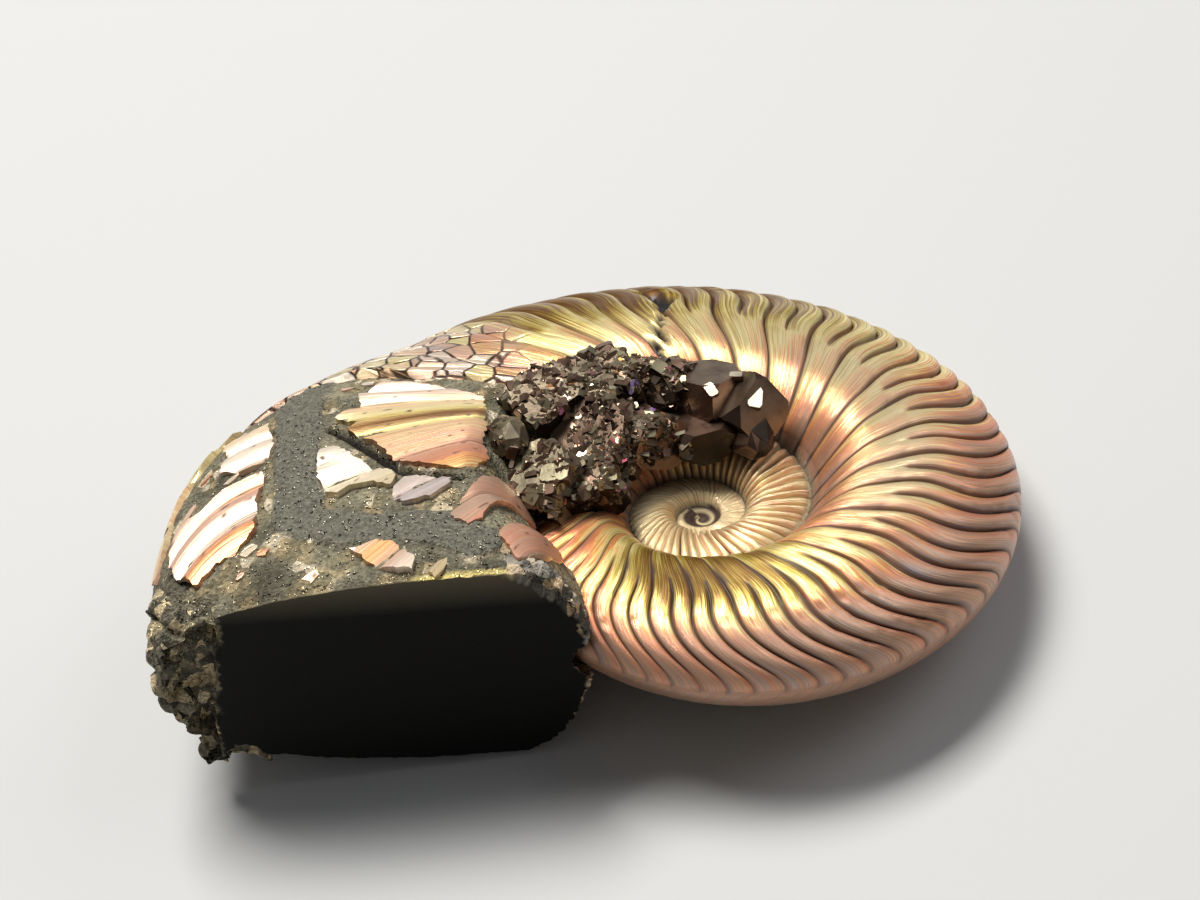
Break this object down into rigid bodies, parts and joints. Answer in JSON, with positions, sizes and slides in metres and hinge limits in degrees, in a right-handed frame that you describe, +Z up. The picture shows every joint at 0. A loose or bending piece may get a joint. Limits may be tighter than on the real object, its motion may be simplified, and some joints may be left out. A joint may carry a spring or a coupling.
{
  "type": "fossil ammonite",
  "caption": "Pyritized ammonite lying on its flank: ribbed nacre coil, stone-filled living chamber with flakes of shell, and a cluster of pyrite crystals.",
  "frame": {"origin": "centre of the bounding box, on the surface the fossil rests on", "axes": "+X towards the older side of the coil, away from the broken living chamber; -Y out of the broken face; +Z up"},
  "size_m": [0.0606, 0.0454, 0.0207],
  "materials": {
    "nacre": "glossy iridescent mother-of-pearl over pyrite, copper pink with yellow and green bands",
    "pyritic_stone": "dark grey fine-grained stone full of pyrite, matt with fine sparkle",
    "pyrite": "dark tarnished metallic crystals with bright flat faces",
    "nacre_flake": "satin iridescent mother-of-pearl, white to pink and orange"
  },
  "bodies": {
    "root": {"nacre_shell_coil": "nacre", "chamber_stone": "pyritic_stone", "pyrite_crystals": "pyrite", "flake_large_ribbed": "nacre_flake", "flake_white": "nacre_flake", "flake_silver": "nacre_flake", "flake_outer_ribbed": "nacre_flake", "flake_outer_upper": "nacre_flake", "flake_edge_sliver": "nacre_flake", "flake_small_orange": "nacre_flake", "flake_pink_flap": "nacre_flake", "flake_brown_pink": "nacre_flake"}
  },
  "joints": []
}
